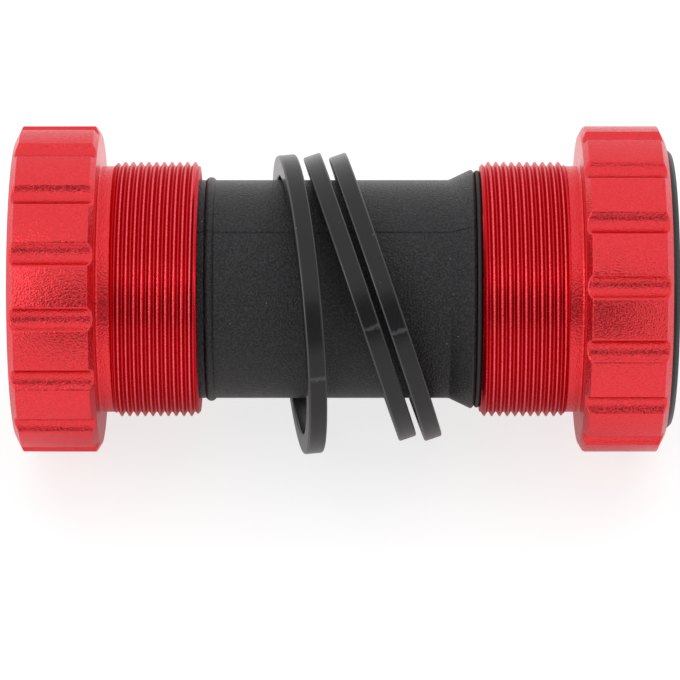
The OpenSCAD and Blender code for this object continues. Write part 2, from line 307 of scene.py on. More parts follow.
def start_finish(name, colour, **constants):
    """A material with one Principled surface, which takes its constants on its own sockets."""
    material = bpy.data.materials.new(name)
    material.use_nodes = True
    tree = material.node_tree
    tree.nodes.clear()
    surface = add(tree, "ShaderNodeBsdfPrincipled", {"Base Color": linear(colour)})
    for socket, value in constants.items():
        surface.inputs[socket.replace("_", " ")].default_value = value
    add(tree, "ShaderNodeOutputMaterial", {"Surface": surface})
    place = add(tree, "ShaderNodeTexCoord").outputs["Object"]
    return material, tree, surface, place


# %% Bead-blasted flange
skin_tint = "#FFD0D4"
bead_dent = 0.24
bead_depth = 0.095


def bead_blasted_red():
    """Metallic red with an even, sparkling grain of dents. Such dents are finer in reality,
    roughly 0.1 mm, and are drawn about twice as coarse so that they show."""
    material, tree, surface, place = start_finish(
        "bead_blasted_red_anodising", "#E22C38", Metallic=1, Roughness=0.3,
        Specular_Tint=linear(skin_tint), Coat_Weight=0.34, Coat_Roughness=0.35, Coat_IOR=1.6)
    dents = add(tree, "ShaderNodeTexNoise", {
        "Vector": place, "Scale": 1 / (bead_dent * MM), "Detail": 1, "Roughness": 0.5})
    shade = add(tree, "ShaderNodeValToRGB", {"Fac": dents})
    shade.color_ramp.elements[0].position = 0.3
    shade.color_ramp.elements[0].color = linear("#DC2A31")
    shade.color_ramp.elements[1].position = 0.7
    shade.color_ramp.elements[1].color = linear("#EA3840")
    rough = add(tree, "ShaderNodeMapRange", {
        "Value": dents, "From Min": 0.3, "From Max": 0.7, "To Min": 0.2, "To Max": 0.12})
    bump = add(tree, "ShaderNodeBump", {
        "Height": dents, "Distance": bead_depth * MM, "Strength": 1})
    feed(tree, surface, Base_Color=shade, Roughness=rough, Normal=bump)
    return material


blasted = bead_blasted_red()
print(blasted.name, "dents of", bead_dent, "mm")

# %% [markdown]
# ## Finishes: turned faces and rolled thread
# Inside, where the bearing sits, a cup keeps the satin that the lathe leaves: its tool cuts a fine
# groove at every turn, which is drawn with noise that is squeezed along the axis. The thread is
# rolled, which burnishes it, so that it is glossier and deeper in colour. Its crests are paler,
# partly as wear that rubs the dye off and partly as a painted highlight, and its root is paler as a
# painted highlight. A painted mask could show that, but would have to be painted again for every
# change of the thread. So the shader takes the height on the thread from the distance to the axis.

# %% Turned faces
tool_mark = 0.12
grain_height = 0.012
fine_grain = 0.22
round_stretch = 60


def turned_red():
    """Satin red of the turned faces: finer grain than the blasted lands, with faint tool marks
    0.12 mm apart, as far as the lathe's tool moves on in a turn. The grain is drawn coarser than
    it is, so that it shows."""
    material, tree, surface, place = start_finish(
        "turned_red_anodising", "#DC2A36", Metallic=1, Roughness=0.36,
        Specular_Tint=linear(skin_tint), Coat_Weight=0.3, Coat_Roughness=0.3, Coat_IOR=1.6)
    stretch = add(tree, "ShaderNodeMapping", {
        "Vector": place, "Scale": (1 / (tool_mark * MM), round_stretch, round_stretch)})
    marks = add(tree, "ShaderNodeTexNoise", {"Vector": stretch, "Scale": 1, "Detail": 2})
    grain = add(tree, "ShaderNodeTexNoise", {
        "Vector": place, "Scale": 1 / (fine_grain * MM), "Detail": 2})
    height = add(tree, "ShaderNodeMath", {0: marks, 1: grain}, operation="ADD")
    bump = add(tree, "ShaderNodeBump", {"Height": height, "Distance": grain_height * MM})
    rough = add(tree, "ShaderNodeMapRange", {"Value": grain, "To Min": 0.28, "To Max": 0.44})
    feed(tree, surface, Roughness=rough, Normal=bump)
    return material


turned = turned_red()
print(turned.name, "tool marks", tool_mark, "mm apart")

# %% Rolled thread
# How far the paler crest band wanders, in mm; the band is partly wear and partly a painted
# highlight.
crest_wear_and_highlight_swing = 0.36


def rolled_red():
    """Glossy deep red of the rolled thread. Its colour follows the height on the thread: it is
    deepest on the flanks, paler in the root as a painted highlight, and paler along the crests,
    partly as wear that rubs the dye off and partly as a painted highlight."""
    material, tree, surface, place = start_finish(
        "rolled_red_anodising", "#C40C1A", Metallic=1, Roughness=0.24,
        Specular_Tint=linear(skin_tint), Coat_Weight=0.12, Coat_Roughness=0.2, Coat_IOR=1.6)
    grain = add(tree, "ShaderNodeTexNoise", {
        "Vector": place, "Scale": 1 / (fine_grain * MM), "Detail": 3, "Roughness": 0.65})
    part = add(tree, "ShaderNodeSeparateXYZ", {0: place}).outputs
    across = add(tree, "ShaderNodeCombineXYZ", {1: part["Y"], 2: part["Z"]})
    radius = add(tree, "ShaderNodeVectorMath", {0: across}, operation="LENGTH").outputs["Value"]
    uneven = add(tree, "ShaderNodeMath", {0: grain, 1: crest_wear_and_highlight_swing * MM, 2: radius},
                 operation="MULTIPLY_ADD")
    height = add(tree, "ShaderNodeMapRange", {
        "Value": uneven, "From Min": (root_r + crest_wear_and_highlight_swing / 2) * MM,
        "From Max": (thread_r + crest_wear_and_highlight_swing / 2) * MM})
    # Painted highlight: the root stop and the crest stop are paler than the flanks; the paler crest
    # is also wear.
    shade = add(tree, "ShaderNodeValToRGB", {"Fac": height})
    shade.color_ramp.elements[0].color = linear("#D42C38")
    shade.color_ramp.elements[1].color = linear("#F2606B")
    shade.color_ramp.elements.new(0.14).color = linear("#BC0A18")
    shade.color_ramp.elements.new(0.8).color = linear("#C80E1C")
    rough = add(tree, "ShaderNodeMapRange", {"Value": grain, "To Min": 0.14, "To Max": 0.38})
    bump = add(tree, "ShaderNodeBump", {"Height": grain, "Distance": grain_height * MM})
    feed(tree, surface, Base_Color=shade, Roughness=rough, Normal=bump)
    return material


rolled = rolled_red()
print(rolled.name, "from radius", root_r, "to", thread_r, "mm")

# %% [markdown]
# ## Finishes: black mouldings
# The sleeve is moulded from glass-filled nylon in a spark-eroded mould, which leaves a fine even
# grain and a matte black with a little dust on it. The spacers and dust caps come from a
# smoother mould, so they are glossier and show a soft light along their edges, which on the
# spacers is partly a painted highlight. One function makes them all, because they differ only in
# how deep the grain is, how it shines and how much dust lies on it. The grain tints the colour as
# well as the bump: black plastic mirrors so little that a bump alone hardly shows. A spacer also
# keeps a pale scar across its rim, where it was broken off its gate, the channel that the plastic
# came in by, and a painted highlight makes its edges paler.

# %% Moulded plastics
mould_grain = 0.26
dust_apart = 2.6
dust_core_r = 0.052
dust_edge_r = 0.117
gate_half_w = 0.42
gate_tear = 0.5
tear_swing = 0.8
scar_strength = 0.36
# Painted highlight along a spacer's rim edges: its width in mm and its strength.
highlight_band = 0.2
highlight_strength = 0.42


def scarred_and_edge_lit(tree, place, colour, gate):
    """The colour with the pale scar of a gate, a torn line across the rim, and a painted highlight
    that makes the rim's edges paler. The gate is its place round the rim and along the outline,
    and the rim's half width, in mm."""
    around, along, rim_half = gate
    unrolled = add(tree, "ShaderNodeTexCoord").outputs["UV"]
    near = add(tree, "ShaderNodeVectorMath", {
        0: unrolled, 1: (around, along, 0)}, operation="SUBTRACT")
    near = add(tree, "ShaderNodeSeparateXYZ", {0: near}).outputs
    tear = add(tree, "ShaderNodeTexNoise", {
        "Vector": place, "Scale": 1 / (gate_tear * MM), "Detail": 3})
    ragged = add(tree, "ShaderNodeMath", {
        0: tear, 1: tear_swing, 2: near["X"]}, operation="MULTIPLY_ADD")
    ragged = add(tree, "ShaderNodeMath", {0: ragged, 1: tear_swing / 2}, operation="SUBTRACT")
    ragged = add(tree, "ShaderNodeMath", {0: ragged}, operation="ABSOLUTE")
    line = add(tree, "ShaderNodeMapRange", {
        "Value": ragged, "From Min": 0.0, "From Max": gate_half_w,
        "To Min": scar_strength, "To Max": 0.0})
    across = add(tree, "ShaderNodeMath", {0: near["Y"]}, operation="ABSOLUTE")
    on_face = add(tree, "ShaderNodeMath", {0: across, 1: rim_half}, operation="LESS_THAN")
    scar = add(tree, "ShaderNodeMath", {0: line, 1: on_face}, operation="MULTIPLY")
    # Painted highlight: a band along each edge of the rim is mixed toward the scar's pale grey.
    edge = add(tree, "ShaderNodeMath", {0: across, 1: rim_half}, operation="SUBTRACT")
    edge = add(tree, "ShaderNodeMath", {0: edge}, operation="ABSOLUTE")
    edge = add(tree, "ShaderNodeMapRange", {
        "Value": edge, "From Min": 0.0, "From Max": highlight_band,
        "To Min": highlight_strength, "To Max": 0.0})
    paler = add(tree, "ShaderNodeMath", {0: scar, 1: edge}, operation="MAXIMUM")
    mixed = add(tree, "ShaderNodeMix", {
        "Factor": paler, 6: colour, 7: linear("#77757A")}, data_type="RGBA")
    return mixed.outputs[2]


def moulded_black(name, low, high, roughness, grain_depth, shine=0.5, dust=0.0, gate=None,
                  peaks=(0.35, 0.75)):
    """Black plastic with its mould's grain, which breaks up its shine, and pale specks of dust.
    Peaks are the grain's heights at which it is fully dark and fully light. Such grain is finer
    in reality, roughly 0.1 mm, and is drawn coarser so that it shows."""
    material, tree, surface, place = start_finish(
        name, low, Roughness=roughness, IOR=1.53, Specular_IOR_Level=shine)
    grain = add(tree, "ShaderNodeTexNoise", {
        "Vector": place, "Scale": 1 / (mould_grain * MM), "Detail": 3, "Roughness": 0.6})
    shade = add(tree, "ShaderNodeValToRGB", {"Fac": grain})
    for element, peak, colour in zip(shade.color_ramp.elements, peaks, (low, high)):
        element.position = peak
        element.color = linear(colour)
    colour_out = shade.outputs["Color"]
    if dust:
        cells = add(tree, "ShaderNodeTexVoronoi", {
            "Vector": place, "Scale": 1 / (dust_apart * MM), "Randomness": 1})
        speck = add(tree, "ShaderNodeMapRange", {
            "Value": cells.outputs["Distance"], "From Min": dust_core_r / dust_apart,
            "From Max": dust_edge_r / dust_apart, "To Min": dust, "To Max": 0})
        dusted = add(tree, "ShaderNodeMix", {
            "Factor": speck, 6: colour_out, 7: linear("#B8B4AE")}, data_type="RGBA")
        colour_out = dusted.outputs[2]
    if gate:
        colour_out = scarred_and_edge_lit(tree, place, colour_out, gate)
    rough = add(tree, "ShaderNodeMapRange", {
        "Value": grain, "To Min": roughness + 0.08, "To Max": roughness - 0.08})
    bump = add(tree, "ShaderNodeBump", {"Height": grain, "Distance": grain_depth * MM})
    tree.links.new(colour_out, surface.inputs["Base Color"])
    feed(tree, surface, Roughness=rough, Normal=bump)
    return material


# %% Mix the plastics
spacer_in_r = 17.75
spacer_out_r = 20.5
spacer_half_t = 1.25
rim_margin = 0.1
gate_place = (
    math.pi * spacer_out_r, 3 * spacer_half_t + spacer_out_r - spacer_in_r,
    spacer_half_t - rim_margin)
grained_nylon = moulded_black(
    "grained_black_nylon", "#08080A", "#37373B", roughness=0.32, grain_depth=0.18,
    shine=0.31, dust=0.6, peaks=(0.42, 0.72))
smooth_nylon = moulded_black(
    "smooth_black_nylon", "#141315", "#1B1A1C", roughness=0.24, grain_depth=0.01,
    shine=0.36, dust=0.3, gate=gate_place)
cap_nylon = moulded_black(
    "satin_black_nylon", "#1A1919", "#242323", roughness=0.42, grain_depth=0.01)
seal_rubber = moulded_black(
    "black_nitrile_rubber", "#0D0D0D", "#161616", roughness=0.62, grain_depth=0.006)
print("mouldings", grained_nylon.name, smooth_nylon.name, cap_nylon.name, seal_rubber.name)

# %% [markdown]
# ## Finishes: inside the bearings
# The races are ground, which leaves fine rings round them. The balls are lapped to a mirror.
# The cage is natural nylon, which is a warm milky white. The rings are finer in reality, and are
# drawn coarser here so that they show where a bearing is looked at from near by.

# %% Bearing finishes
grinding_mark = 0.08
grinding_depth = 0.003
grinding_stretch = 90
haze_patch = 0.9
cloud_patch = 1.2
light_depth = 0.6


def ground_steel():
    """Bright hardened steel with fine grinding rings."""
    material, tree, surface, place = start_finish(
        "ground_bearing_steel", "#C6C8CB", Metallic=1, Roughness=0.22)
    stretch = add(tree, "ShaderNodeMapping", {
        "Vector": place,
        "Scale": (1 / (grinding_mark * MM), grinding_stretch, grinding_stretch)})
    marks = add(tree, "ShaderNodeTexNoise", {"Vector": stretch, "Scale": 1, "Detail": 2})
    rough = add(tree, "ShaderNodeMapRange", {"Value": marks, "To Min": 0.14, "To Max": 0.34})
    bump = add(tree, "ShaderNodeBump", {"Height": marks, "Distance": grinding_depth * MM})
    feed(tree, surface, Roughness=rough, Normal=bump)
    return material


def lapped_steel():
    """Mirror-bright steel of the balls, with a trace of grease haze."""
    material, tree, surface, place = start_finish(
        "lapped_steel", "#D6D8DA", Metallic=1, Roughness=0.07)
    haze = add(tree, "ShaderNodeTexNoise", {
        "Vector": place, "Scale": 1 / (haze_patch * MM), "Detail": 2})
    rough = add(tree, "ShaderNodeMapRange", {"Value": haze, "To Min": 0.04, "To Max": 0.14})
    feed(tree, surface, Roughness=rough)
    return material


def natural_nylon():
    """Milky cream nylon of the cages."""
    material, tree, surface, place = start_finish(
        "natural_nylon", "#E4DCC6", Roughness=0.45, Subsurface_Weight=0.15,
        Subsurface_Scale=light_depth * MM)
    cloud = add(tree, "ShaderNodeTexNoise", {
        "Vector": place, "Scale": 1 / (cloud_patch * MM), "Detail": 2})
    shade = add(tree, "ShaderNodeValToRGB", {"Fac": cloud})
    shade.color_ramp.elements[0].color = linear("#D8CFB6")
    shade.color_ramp.elements[1].color = linear("#EDE6D3")
    feed(tree, surface, Base_Color=shade)
    return material


node_finishes = {
    "race": ground_steel(), "balls": lapped_steel(), "cage": natural_nylon(),
    "seal": seal_rubber, "oring": seal_rubber,
}
for name, solid in frame["nodes"].items():
    for word, finish in node_finishes.items():
        if name.endswith(word):
            solid.data.materials.clear()
            solid.data.materials.append(finish)
print("finished solids", sum(name.endswith(tuple(node_finishes)) for name in frame["nodes"]))

# %% [markdown]
# ## Turning on a lathe
# Every visible piece here is a ring: its half section goes once round the axis. The section is
# a closed outline of corners, each with its own rounding, because no real edge is knife-sharp and
# a rounded one catches a line of light. Spinning a closed outline gives a closed mesh, so there
# are no seams or poles to mend. A support point beside each rounding keeps the flats flat.

# %% Round an outline and spin it
nearly_straight = math.radians(175)
side_share = 0.3
support_at = 1.5


def rounded(corners, steps=4):
    """Rounds a closed outline of corners (along, out, rounding); rounding 0 leaves one as it is."""
    points = []
    for i, (along, out, rounding) in enumerate(corners):
        corner = np.array([along, out], float)
        before = np.array(corners[i - 1][:2], float) - corner
        after = np.array(corners[(i + 1) % len(corners)][:2], float) - corner
        length_before, length_after = np.linalg.norm(before), np.linalg.norm(after)
        before, after = before / length_before, after / length_after
        opening = math.acos(max(-1, min(1, float(before @ after))))
        if rounding == 0 or opening > nearly_straight:
            points.append(corner)
            continue
        tangent = min(rounding / math.tan(opening / 2),
                      side_share * length_before, side_share * length_after)
        radius = tangent * math.tan(opening / 2)
        centre_way = (before + after) / np.linalg.norm(before + after)
        centre = corner + centre_way * radius / math.sin(opening / 2)
        start, end = corner + before * tangent - centre, corner + after * tangent - centre
        turn = math.pi - opening
        points.append(corner + before * tangent * support_at)
        for k in range(steps + 1):
            share = k / steps
            points.append(centre + (
                start * math.sin((1 - share) * turn) + end * math.sin(share * turn)
            ) / math.sin(turn))
        points.append(corner + after * tangent * support_at)
    return np.array(points)


def spun(name, outline, angles, seam_open=False):
    """Spins a closed outline (along, out), in millimetres, round X through angles in radians."""
    along, out = outline[:, 0], outline[:, 1]
    area = np.sum(along * np.roll(out, -1) - np.roll(along, -1) * out)
    if area < 0:
        raise ValueError(f"{name}: the outline has to run against the clock")
    angles = np.asarray(angles)
    rows, columns = len(outline), len(angles)
    grid = np.empty((rows, columns, 3))
    grid[..., 0] = along[:, None]
    grid[..., 1] = out[:, None] * np.cos(angles)
    grid[..., 2] = out[:, None] * np.sin(angles)
    row = np.arange(rows)[:, None]
    column = np.arange(columns - 1 if seam_open else columns)[None, :]
    here, up = row * columns, (row + 1) % rows * columns
    beside = (column + 1) % columns
    faces = np.stack([here + column, up + column, up + beside, here + beside], -1).reshape(-1, 4)
    mesh = bpy.data.meshes.new(name)
    mesh.from_pydata(grid.reshape(-1, 3) * MM, [], faces)
    mesh.shade_smooth()
    piece = bpy.data.objects.new(name, mesh)
    bpy.context.scene.collection.objects.link(piece)
    return piece


def even_angles(count, fine_at=(), fine_half=0.0, fine_steps=8):
    """Evenly spaced angles, in radians, with finer ones round each place in fine_at, in degrees."""
    angles = set(np.round(np.linspace(0, 2 * math.pi, count, endpoint=False), 6))
    for middle in fine_at:
        extra = np.linspace(middle - fine_half, middle + fine_half, 2 * fine_steps + 1)
        angles |= set(np.round(np.radians(extra) % (2 * math.pi), 6))
    return sorted(angles)


# %% [markdown]
# ## The cups, step by step
# A cup is made here in the order of a workshop. The lathe gives a blank. A round cutter, parallel
# to the axis, mills sixteen notches for the fitting tool. Dies roll the thread. The last two
# follow a rule, so Geometry Nodes do them: the notch is the blank's radius cut down to the
# cutter's circle, and the thread is a helix, in which every row of points keeps its height on the
# profile and moves along the axis as it goes round. The drive cup's helix runs the other way,
# because the right-hand side of a frame takes a left-hand thread.

# %% The mill's nodes
NOTCH_INPUTS = {
    "Notches": "NodeSocketFloat", "First notch": "NodeSocketFloat",
    "Cutter radius": "NodeSocketFloat", "Cutter place": "NodeSocketFloat",
    "Edge rounding": "NodeSocketFloat", "Finish": "NodeSocketMaterial",
}


def start_tree(name, inputs):
    """An empty Geometry Nodes tree with geometry in and out, and these named inputs."""
    tree = bpy.data.node_groups.new(name, "GeometryNodeTree")
    tree.interface.new_socket("Geometry", in_out="INPUT", socket_type="NodeSocketGeometry")
    tree.interface.new_socket("Geometry", in_out="OUTPUT", socket_type="NodeSocketGeometry")
    for label, kind in inputs.items():
        tree.interface.new_socket(label, in_out="INPUT", socket_type=kind)
    return tree


def mill_notches():
    """Cuts each point down to the circle of the nearest notch's cutter."""
    tree = start_tree("mill_notches", NOTCH_INPUTS)
    given = add(tree, "NodeGroupInput").outputs
    place = add(tree, "GeometryNodeInputPosition")
    part = add(tree, "ShaderNodeSeparateXYZ", {0: place}).outputs
    across = add(tree, "ShaderNodeCombineXYZ", {1: part["Y"], 2: part["Z"]})
    radius = add(tree, "ShaderNodeVectorMath", {0: across}, operation="LENGTH").outputs["Value"]
    angle = add(tree, "ShaderNodeMath", {0: part["Z"], 1: part["Y"]}, operation="ARCTAN2")
    step = add(tree, "ShaderNodeMath", {0: 2 * math.pi, 1: given["Notches"]}, operation="DIVIDE")
    half_step = add(tree, "ShaderNodeMath", {0: step, 1: 0.5}, operation="MULTIPLY")
    less_half = add(tree, "ShaderNodeMath", {0: step, 1: -0.5}, operation="MULTIPLY")
    off = add(tree, "ShaderNodeMath", {0: angle, 1: given["First notch"]}, operation="SUBTRACT")
    off = add(tree, "ShaderNodeMath", {0: off, 1: half_step, 2: less_half}, operation="WRAP")
    sine = add(tree, "ShaderNodeMath", {0: off}, operation="SINE")
    cosine = add(tree, "ShaderNodeMath", {0: off}, operation="COSINE")
    aside = add(tree, "ShaderNodeMath", {0: sine, 1: given["Cutter place"]}, operation="MULTIPLY")
    ahead = add(tree, "ShaderNodeMath", {0: cosine, 1: given["Cutter place"]}, operation="MULTIPLY")
    aside_2 = add(tree, "ShaderNodeMath", {0: aside, 1: aside}, operation="MULTIPLY")
    cutter_2 = add(tree, "ShaderNodeMath", {0: given["Cutter radius"], 1: given["Cutter radius"]},
                   operation="MULTIPLY")
    room = add(tree, "ShaderNodeMath", {0: cutter_2, 1: aside_2}, operation="SUBTRACT")
    room = add(tree, "ShaderNodeMath", {0: room, 1: 0.0}, operation="MAXIMUM")
    depth = add(tree, "ShaderNodeMath", {0: room}, operation="SQRT")
    floor = add(tree, "ShaderNodeMath", {0: ahead, 1: depth}, operation="SUBTRACT")
    cut = add(tree, "ShaderNodeMath", {0: radius, 1: floor, 2: given["Edge rounding"]},
              operation="SMOOTH_MIN")
    share = add(tree, "ShaderNodeMath", {0: cut, 1: radius}, operation="DIVIDE")
    scale = add(tree, "ShaderNodeCombineXYZ", {0: 1.0, 1: share, 2: share})
    moved = add(tree, "ShaderNodeVectorMath", {0: place, 1: scale}, operation="MULTIPLY")
    milled = add(tree, "GeometryNodeSetPosition", {0: given["Geometry"], "Position": moved})
    real = add(tree, "GeometryNodeRealizeInstances", {0: milled})
    finished = add(tree, "GeometryNodeSetMaterial", {0: real, "Material": given["Finish"]})
    add(tree, "NodeGroupOutput", {0: finished})
    return tree


# %% The thread roller's nodes
THREAD_INPUTS = {
    "Pitch": "NodeSocketFloat", "Mouth": "NodeSocketFloat", "Outward": "NodeSocketFloat",
    "Length": "NodeSocketFloat", "Start": "NodeSocketFloat", "Crest radius": "NodeSocketFloat",
    "Root radius": "NodeSocketFloat", "Crest flat": "NodeSocketFloat",
    "Root start": "NodeSocketFloat", "Mouth radius": "NodeSocketFloat",
    "Turned finish": "NodeSocketMaterial", "Thread finish": "NodeSocketMaterial",
}
weld_gap = 0.001


def roll_thread():
    """Winds the barrel's rows into a helix, each row at its height on the thread's profile."""
    tree = start_tree("roll_thread", THREAD_INPUTS)
    given = add(tree, "NodeGroupInput").outputs
    turn = add(tree, "GeometryNodeInputNamedAttribute", {"Name": "turn"}, data_type="FLOAT")
    once_round = add(tree, "GeometryNodeInputNamedAttribute", {"Name": "round"}, data_type="FLOAT")
    zone = add(tree, "GeometryNodeInputNamedAttribute", {"Name": "zone"}, data_type="FLOAT")
    is_thread = add(tree, "ShaderNodeMath", {0: turn, 1: -0.5}, operation="GREATER_THAN")
    is_turned = add(tree, "ShaderNodeMath", {0: zone, 1: 0.5}, operation="GREATER_THAN")
    turns = add(tree, "ShaderNodeMath", {0: turn, 1: once_round}, operation="ADD")
    turns = add(tree, "ShaderNodeMath", {0: turns, 1: given["Start"]}, operation="ADD")
    from_mouth = add(tree, "ShaderNodeMath", {0: turns, 1: given["Pitch"]}, operation="MULTIPLY")
    from_mouth = add(tree, "ShaderNodeClamp", {0: from_mouth, 1: 0.0, 2: given["Length"]})
    half_on = add(tree, "ShaderNodeMath", {0: turn, 1: 0.5}, operation="ADD")
    saw = add(tree, "ShaderNodeMath", {0: half_on}, operation="FRACT")
    saw = add(tree, "ShaderNodeMath", {0: saw, 1: 0.5}, operation="SUBTRACT")
    saw = add(tree, "ShaderNodeMath", {0: saw}, operation="ABSOLUTE")
    profile = add(tree, "ShaderNodeMapRange", {
        "Value": saw, "From Min": given["Crest flat"], "From Max": given["Root start"],
        "To Min": given["Crest radius"], "To Max": given["Root radius"]})
    bevel = add(tree, "ShaderNodeMath", {
        0: given["Mouth radius"], 1: from_mouth}, operation="ADD")
    to_relief = add(tree, "ShaderNodeMath", {
        0: given["Length"], 1: from_mouth}, operation="SUBTRACT")
    run_out = add(tree, "ShaderNodeMath", {0: given["Root radius"], 1: to_relief}, operation="ADD")
    radius = add(tree, "ShaderNodeMath", {0: profile, 1: bevel}, operation="MINIMUM")
    radius = add(tree, "ShaderNodeMath", {0: radius, 1: run_out}, operation="MINIMUM")
    part = add(tree, "ShaderNodeSeparateXYZ", {0: add(tree, "GeometryNodeInputPosition")}).outputs
    across = add(tree, "ShaderNodeCombineXYZ", {1: part["Y"], 2: part["Z"]})
    way = add(tree, "ShaderNodeVectorMath", {0: across}, operation="NORMALIZE")
    ring = add(tree, "ShaderNodeVectorMath", {0: way, "Scale": radius}, operation="SCALE")
    along = add(tree, "ShaderNodeMath", {0: from_mouth, 1: given["Outward"]}, operation="MULTIPLY")
    along = add(tree, "ShaderNodeMath", {0: along, 1: given["Mouth"]}, operation="ADD")
    along = add(tree, "ShaderNodeCombineXYZ", {0: along})
    wound = add(tree, "ShaderNodeVectorMath", {0: ring, 1: along}, operation="ADD")
    rolled_on = add(tree, "GeometryNodeSetPosition", {
        0: given["Geometry"], "Selection": is_thread, "Position": wound})
    closed = add(tree, "GeometryNodeMergeByDistance", {0: rolled_on, "Distance": weld_gap * MM})
    real = add(tree, "GeometryNodeRealizeInstances", {0: closed})
    faces = add(tree, "GeometryNodeSetMaterial", {
        0: real, "Selection": is_turned, "Material": given["Turned finish"]})
    finished = add(tree, "GeometryNodeSetMaterial", {
        0: faces, "Selection": is_thread, "Material": given["Thread finish"]})
    add(tree, "NodeGroupOutput", {0: finished})
    return tree


# %% Run a tree on a piece


def run_nodes(piece, tree, values):
    """Adds a tree to a piece with its inputs set by name, before the piece is first evaluated."""
    modifier = piece.modifiers.new(tree.name, "NODES")
    modifier.node_group = tree
    for item in tree.interface.items_tree:
        if item.name in values:
            modifier[item.identifier] = values[item.name]


def made_plain(piece):
    """Keeps what a piece's modifiers made as its own plain mesh."""
    graph = bpy.context.evaluated_depsgraph_get()
    mesh = bpy.data.meshes.new_from_object(piece.evaluated_get(graph), depsgraph=graph)
    piece.modifiers.clear()
    piece.data = mesh
    for name in ("turn", "round", "zone"):
        if name in mesh.attributes:
            mesh.attributes.remove(mesh.attributes[name])
    mesh.shade_smooth()
    print(piece.name, len(mesh.vertices), "points,", len(mesh.polygons), "faces")


# %% Size the cup
notches = 16
cutter_r = 1.75
notch_depth = 0.97
notch_edge = 0.30
cutter_place = flange_r - notch_depth + cutter_r
pitch = 25.4 / 24
lead_in = 0.65
relief_w = 1.85
rows_per_turn = 12
crest_rows = 0.8
root_rows = 1
spare_turns = 2
inboard_chamfer = (0.7, 1.1)
outboard_chamfer = (0.95, 1.9)
bore_r = 15.65
seat_r = 18.51
recess_r = 19.3
mouth_chamfer = 0.4
thread_l = barrel_l - relief_w
rounding = 0.14
side_step = 0.16
notch_half = math.acos(
    (cutter_place ** 2 + flange_r ** 2 - cutter_r ** 2) / (2 * cutter_place * flange_r))
print(f"notch half angle {math.degrees(notch_half):.2f} degrees, thread {thread_l:.2f} mm long")

# %% Turn the blank


def notch_angles(first):
    """Angles that crowd at the notches' edges, once round from the first notch."""
    half_step = math.pi / notches
    crowding = math.radians(0.8)
    side_points = 11
    low, high = math.asinh(notch_half / crowding), math.asinh((half_step - notch_half) / crowding)
    one_side = notch_half + crowding * np.sinh(np.linspace(-low, high, side_points))
    one_notch = np.concatenate([one_side[:-1], 2 * half_step - one_side[:0:-1]])
    once = np.concatenate([one_notch + 2 * half_step * i for i in range(notches)])
    return np.append(once, 2 * math.pi) + first


def cup_section():
    """Half section of a cup from its barrel's mouth on, and each point's thread turn and zone."""
    thread_rows = rows_per_turn * math.ceil(thread_l / pitch + spare_turns)
    turns = np.arange(thread_rows + 1) / rows_per_turn
    flange = rounded([
        (-relief_w, root_r, 0), (0.1 - relief_w, root_r, 0), (0, root_r, 0.3),
        (0, flange_r - inboard_chamfer[1], rounding),
        (inboard_chamfer[0], flange_r, rounding),
        (flange_w - outboard_chamfer[0], flange_r, rounding),
        (flange_w, flange_r - outboard_chamfer[1], rounding), (flange_w, recess_r, rounding),
        (seat_to, recess_r, 0.1), (seat_to, seat_r, 0.05), (seat_from, seat_r, 0.1),
        (seat_from, bore_r, 0.1), (mouth_chamfer - barrel_l, bore_r, 0.1),
        (-barrel_l, bore_r + mouth_chamfer, 0.05), (-barrel_l, thread_r - lead_in, 0),
    ])[1:-1]
    fine = [flange[0]]
    for point in flange[1:]:
        rise = abs(point[1] - fine[-1][1])
        outside = min(point[1], fine[-1][1]) > recess_r + 1
        pieces = math.ceil(rise / side_step) if outside else 1
        start = fine[-1]
        fine.extend(start + (point - start) * k / pieces for k in range(1, pieces + 1))
    fine = np.array(fine)
    thread = np.column_stack([
        np.linspace(-barrel_l, -relief_w, len(turns)),
        np.linspace(thread_r - lead_in, root_r, len(turns))])
    section = np.concatenate([thread, fine])
    turn = np.concatenate([turns, np.full(len(fine), -2 * len(turns))])
    along, out = section.T
    blasted_part = (out > recess_r + 0.05) | ((out > root_r - 0.01) & (along < seat_from / 2))
    return section, turn, np.where(blasted_part, 0.0, 1.0)


def cup_blank(name, side, first):
    """A cup's blank on its own end of the unit, with what the roller has to know at each point."""
    section, turn, zone = cup_section()
    outline = np.column_stack([side * (half_gap + section[:, 0]), section[:, 1]])
    if side > 0:
        outline, turn, zone = outline[::-1], turn[::-1], zone[::-1]
    angles = notch_angles(first)
    blank = spun(name, outline, angles, seam_open=True)
    columns = len(angles)
    once_round = np.tile((angles - angles[0]) / (2 * math.pi), len(outline))
    for label, values in (
            ("turn", np.repeat(turn, columns)), ("round", once_round),
            ("zone", np.repeat(zone, columns))):
        blank.data.attributes.new(label, "FLOAT", "POINT").data.foreach_set("value", values)
    return blank


